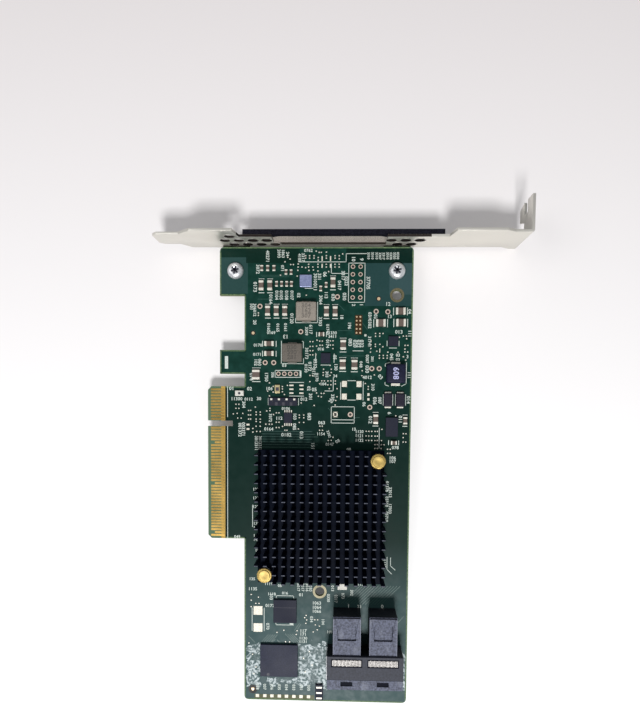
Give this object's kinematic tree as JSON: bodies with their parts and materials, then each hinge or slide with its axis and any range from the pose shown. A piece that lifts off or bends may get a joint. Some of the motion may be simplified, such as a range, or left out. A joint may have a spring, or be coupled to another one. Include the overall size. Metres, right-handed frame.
{
  "type": "host bus adapter",
  "caption": "Low-profile storage controller card with an edge connector, pin-fin heatsink, dual internal cable port and full-height slot bracket.",
  "frame": {"origin": "middle of the key notch on the finger edge, at half board thickness", "axes": "+X from the finger edge into the board, +Y along the board towards the bracket, +Z out of the component side"},
  "size_m": [0.12, 0.1682, 0.0206],
  "materials": {
    "screw_steel": "plated steel",
    "package_plastic": "black moulding compound",
    "ceramic": "sintered ceramic",
    "solder_mask": "green solder mask on glass laminate, semi-gloss",
    "lilac_ceramic": "lilac-blue lid",
    "plated_contacts": "tin-plated contact metal",
    "connector_plastic": "black glass-filled plastic",
    "package_substrate": "laminate",
    "dark_ferrite": "dark ferrite",
    "tin": "tin plating",
    "white_plastic": "white moulding",
    "gold": "gold plating",
    "gasket_foam": "black conductive foam",
    "gasket_fabric": "woven conductive fabric",
    "black_anodised": "black anodised",
    "nickel_steel": "nickel-plated sheet steel",
    "pale_gold": "pale gold lid",
    "grey_inductor": "pressed iron-powder moulding",
    "polymer_case": "moulded case",
    "spring_steel": "spring wire",
    "brass": "plain brass",
    "network_plastic": "dark moulded strip",
    "thermal_pad": "grey thermal pad"
  },
  "bodies": {
    "root": {"bracket_screws": "screw_steel", "buffer_memory": "package_plastic", "ceramic_capacitors": "ceramic", "circuit_board": "solder_mask", "clock_oscillator": "lilac_ceramic", "connector_clips": "plated_contacts", "connector_contacts": "plated_contacts", "connector_housing": "connector_plastic", "controller_lid": "package_plastic", "controller_substrate": "package_substrate", "core_inductor": "dark_ferrite", "core_terminals": "tin", "crystal": "white_plastic", "edge_contacts_component_side": "gold", "edge_contacts_solder_side": "gold", "edge_transistor": "package_plastic", "emi_gasket": "gasket_foam", "flash_memory": "package_plastic", "gasket_backing": "gasket_fabric", "heatsink": "black_anodised", "indicator_lamp": "white_plastic", "inductor_terminals": "tin", "leadless_regulators": "package_plastic", "mounting_bracket": "nickel_steel", "output_diode": "pale_gold", "output_inductors": "grey_inductor", "polymer_capacitors": "polymer_case", "polymer_terminals": "tin", "push_pin_springs": "spring_steel", "push_pins": "brass", "regulator_package": "package_plastic", "resistor_network": "network_plastic", "serial_memory": "package_plastic", "serial_memory_pins": "tin", "small_chips": "ceramic", "solder_side_capacitors": "ceramic", "thermal_pad": "thermal_pad"}
  },
  "joints": []
}
